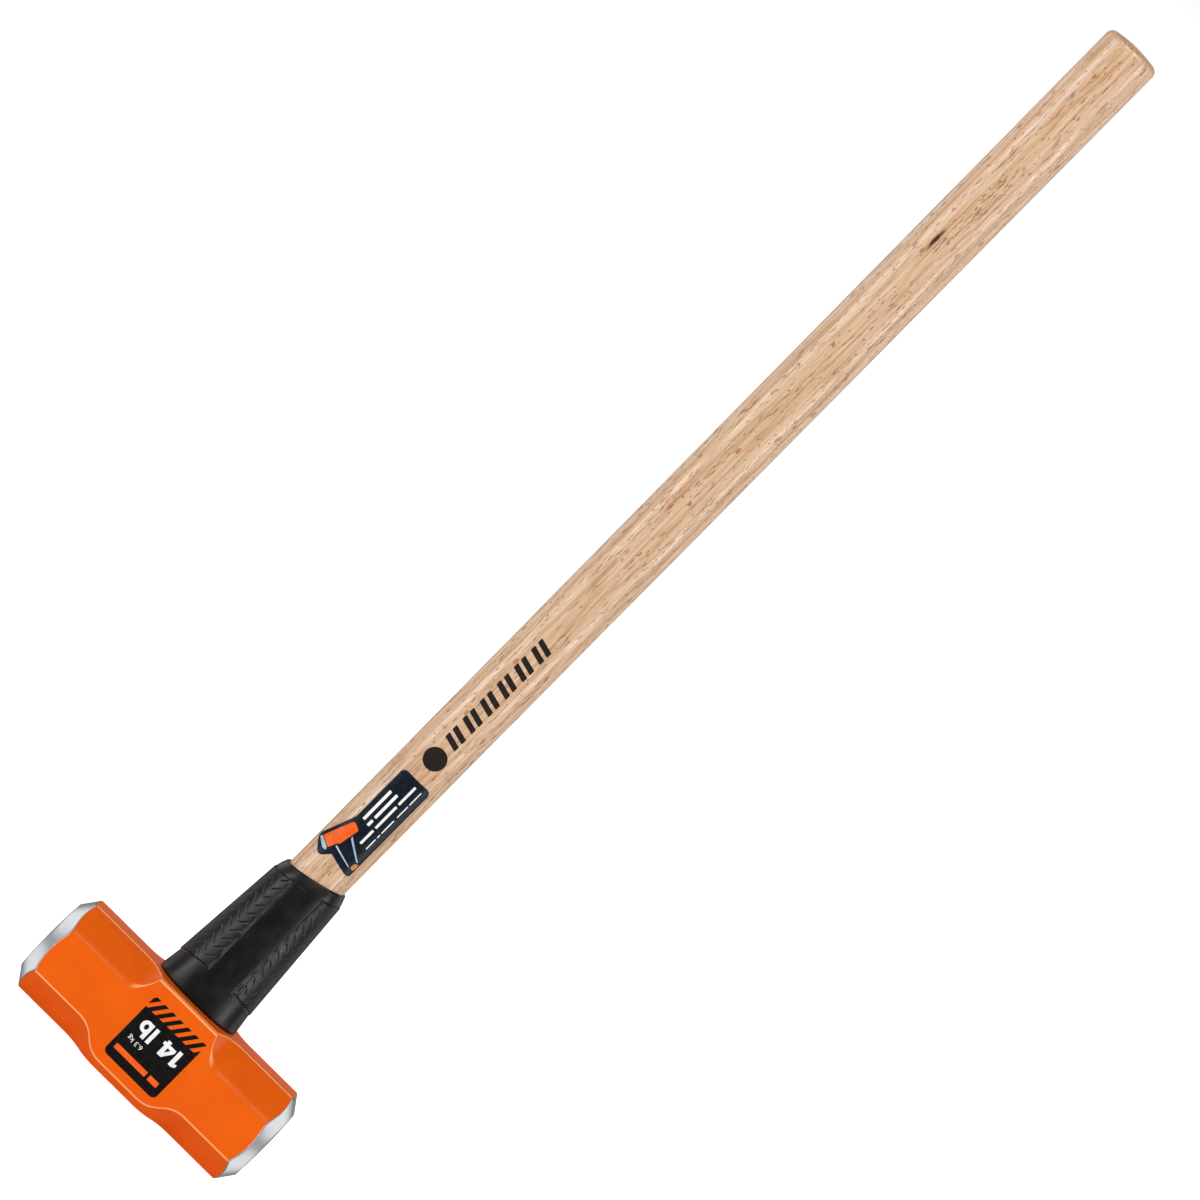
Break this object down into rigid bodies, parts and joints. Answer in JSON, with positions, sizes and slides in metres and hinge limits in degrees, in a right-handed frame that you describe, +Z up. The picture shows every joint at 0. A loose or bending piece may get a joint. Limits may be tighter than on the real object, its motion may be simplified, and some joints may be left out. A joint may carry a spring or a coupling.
{
  "type": "sledgehammer",
  "caption": "Long-handled sledgehammer with an orange octagonal forged head, bare steel striking faces, a ribbed rubber shock collar and a clear-lacquered hardwood handle.",
  "frame": {"origin": "middle of the head's bottom flat, the face that the hammer stands on, under the handle's axis", "axes": "+Z up the handle to the butt, X along the head from one striking face to the other, -Y out of the labelled front"},
  "size_m": [0.192, 0.0726, 0.9144],
  "materials": {
    "head_paint": "semi-gloss orange enamel on forged steel",
    "bare_steel": "ground bright steel",
    "handle_wood": "sanded hardwood under satin clear lacquer",
    "wedge_wood": "raw hardwood, end driven flush",
    "collar_rubber": "moulded black rubber, ribbed side panels",
    "head_label_film": "black printed film",
    "handle_label_film": "navy-black die-cut film with a pale edge"
  },
  "bodies": {
    "root": {"head": "head_paint", "handle": "handle_wood", "wooden_wedge": "wedge_wood", "steel_wedge_left": "bare_steel", "steel_wedge_right": "bare_steel", "shock_collar": "collar_rubber", "head_label": "head_label_film", "handle_label": "handle_label_film"}
  },
  "joints": []
}
